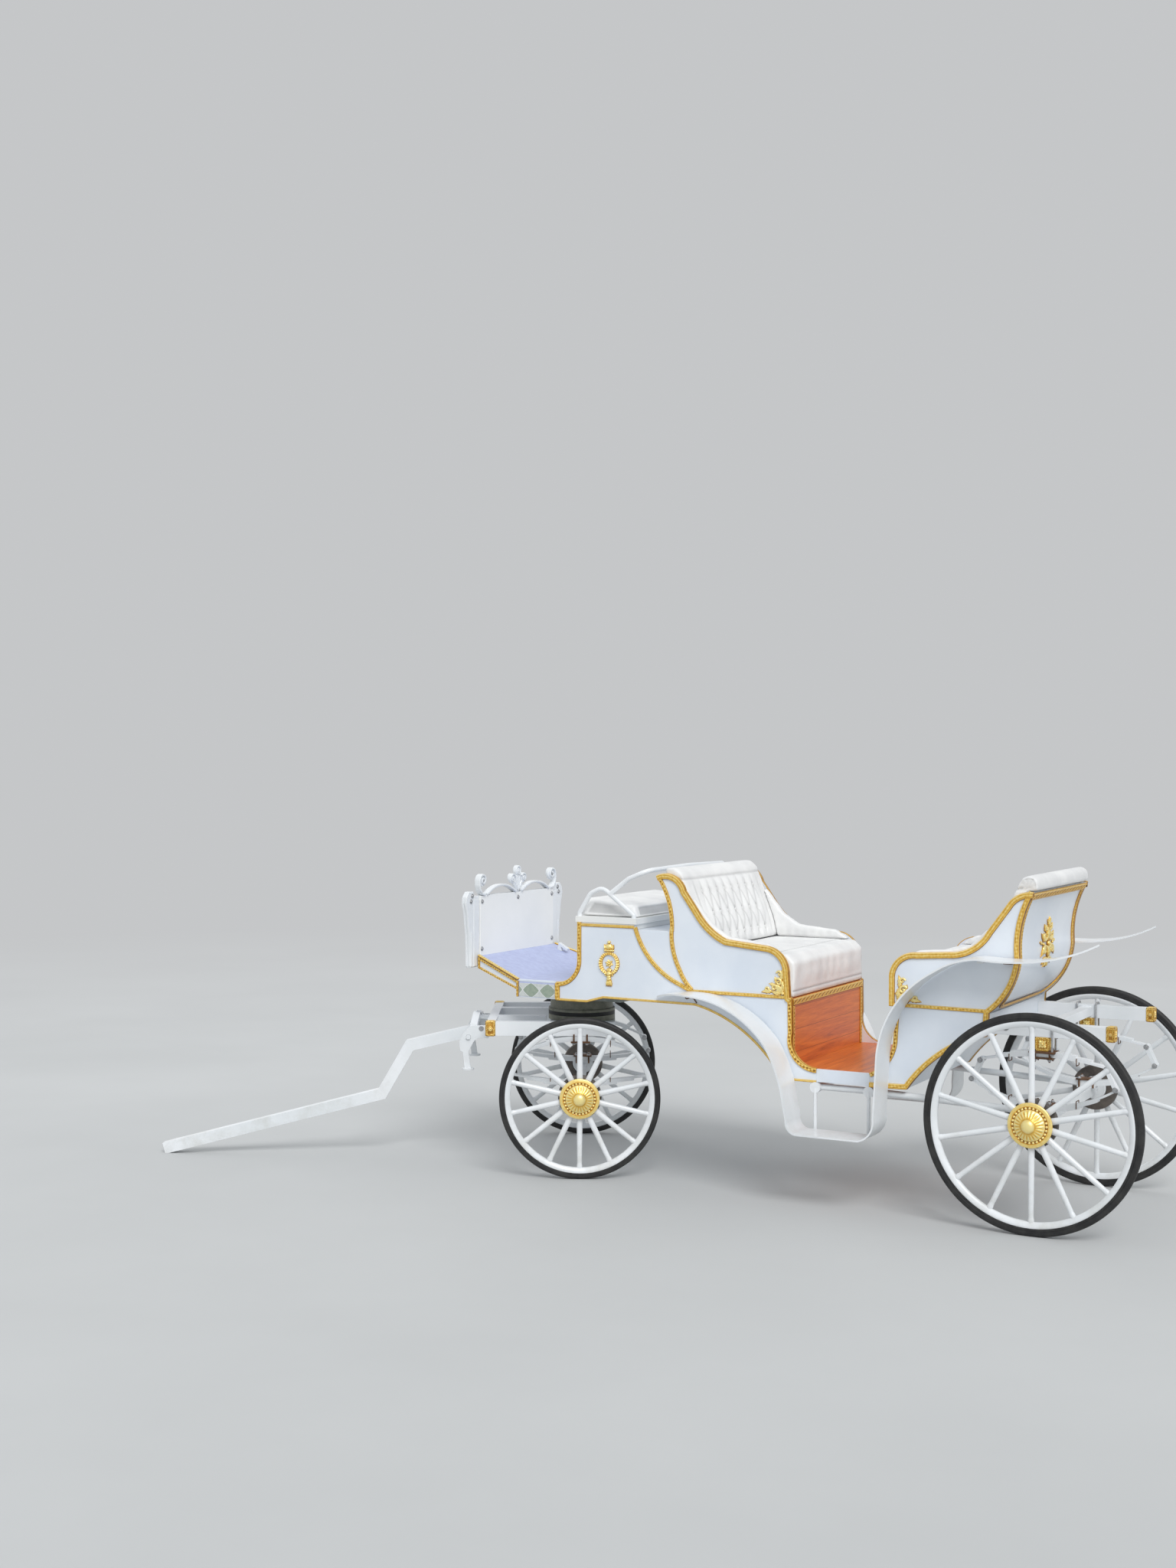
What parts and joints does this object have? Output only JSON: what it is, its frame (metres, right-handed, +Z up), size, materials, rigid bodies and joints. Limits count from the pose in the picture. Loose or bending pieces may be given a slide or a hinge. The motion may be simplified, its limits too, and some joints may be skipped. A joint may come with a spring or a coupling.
{
  "type": "horse drawn carriage",
  "caption": "Open white four-wheeled horse-drawn carriage with facing passenger seats, driver's box, fenders with steps, elliptic springs, steered front gear and a cranked pole.",
  "frame": {"origin": "on the ground in the middle of the outline's length and width, the front gear turned left as it stands", "axes": "+X forward along the body, +Y to the left, +Z up"},
  "size_m": [5.1328, 1.8224, 1.609],
  "materials": {
    "white_paint": "gloss",
    "gilt": "satin gold paint",
    "floor_wood": "varnished",
    "white_leather": "tufted upholstery",
    "lavender_mat": "matt floor covering",
    "tyre_rubber": "solid rubber",
    "black_steel": "greased black",
    "grey_steel": "grey paint"
  },
  "bodies": {
    "carriage_body": {"box_mounting_plate": "grey_steel", "chassis_rails": "white_paint", "dash_crown": "white_paint", "dash_frame": "white_paint", "dash_panel": "white_paint", "door_sills": "white_paint", "driver_box_front": "white_paint", "driver_deck": "white_paint", "driver_rails": "white_paint", "driver_seat_base": "white_paint", "driver_seat_cushion": "white_leather", "fender_left": "white_paint", "fender_right": "white_paint", "foot_brake": "white_paint", "footboard": "lavender_mat", "footboard_skirt": "white_paint", "front_arm_pads": "white_leather", "front_back_cushion": "white_leather", "front_belly": "white_paint", "front_riser": "floor_wood", "front_seat_back": "white_paint", "front_seat_cushion": "white_leather", "front_seat_deck": "white_paint", "passenger_floor": "floor_wood", "rail_caps": "gilt", "rear_arm_pads": "white_leather", "rear_axle": "white_paint", "rear_back_cushion": "white_leather", "rear_belly": "white_paint", "rear_riser": "floor_wood", "rear_seat_back": "white_paint", "rear_seat_cushion": "white_leather", "rear_seat_deck": "white_paint", "rear_springs": "white_paint", "side_panel_front_left": "white_paint", "side_panel_front_right": "white_paint", "side_panel_rear_left": "white_paint", "side_panel_rear_right": "white_paint", "spring_blocks": "gilt", "turntable_upper": "black_steel", "underfloor_tubes": "white_paint"},
    "front_gear": {"front_axle": "white_paint", "front_springs": "white_paint", "gear_bar_caps": "gilt", "gear_frame": "white_paint", "hitch_brackets": "white_paint", "turntable_lower": "black_steel"},
    "pole": {"pole": "white_paint"},
    "front_left_wheel": {"tyre_front_left": "tyre_rubber", "wheel_front_left": "white_paint", "hub_cap_front_left": "gilt"},
    "front_right_wheel": {"tyre_front_right": "tyre_rubber", "wheel_front_right": "white_paint", "hub_cap_front_right": "gilt"},
    "rear_left_wheel": {"tyre_rear_left": "tyre_rubber", "wheel_rear_left": "white_paint", "hub_cap_rear_left": "gilt"},
    "rear_right_wheel": {"tyre_rear_right": "tyre_rubber", "wheel_rear_right": "white_paint", "hub_cap_rear_right": "gilt"}
  },
  "joints": [
    {"name": "steering", "type": "hinge", "parent": "carriage_body", "child": "front_gear", "pos_m": [0.55556, -0.16821, 0.7], "axis": [0, 0, 1], "range_deg": [-87.8, 32.2]},
    {"name": "pole_lift", "type": "hinge", "parent": "front_gear", "child": "pole", "pos_m": [1.07923, 0.10789, 0.668], "axis": [0.4664, -0.8846, 0], "range_deg": [0, 38]},
    {"name": "front_left_spin", "type": "hinge", "parent": "front_gear", "child": "front_left_wheel", "pos_m": [0.27176, 0.37006, 0.41], "axis": [-0.4664, 0.8846, 0], "continuous": true},
    {"name": "front_right_spin", "type": "hinge", "parent": "front_gear", "child": "front_right_wheel", "pos_m": [0.83935, -0.70647, 0.41], "axis": [-0.4664, 0.8846, 0], "continuous": true},
    {"name": "rear_left_spin", "type": "hinge", "parent": "carriage_body", "child": "rear_left_wheel", "pos_m": [-2.06644, 0.42979, 0.5], "axis": [0, 1, 0], "continuous": true},
    {"name": "rear_right_spin", "type": "hinge", "parent": "carriage_body", "child": "rear_right_wheel", "pos_m": [-2.06644, -0.76621, 0.5], "axis": [0, 1, 0], "continuous": true}
  ]
}
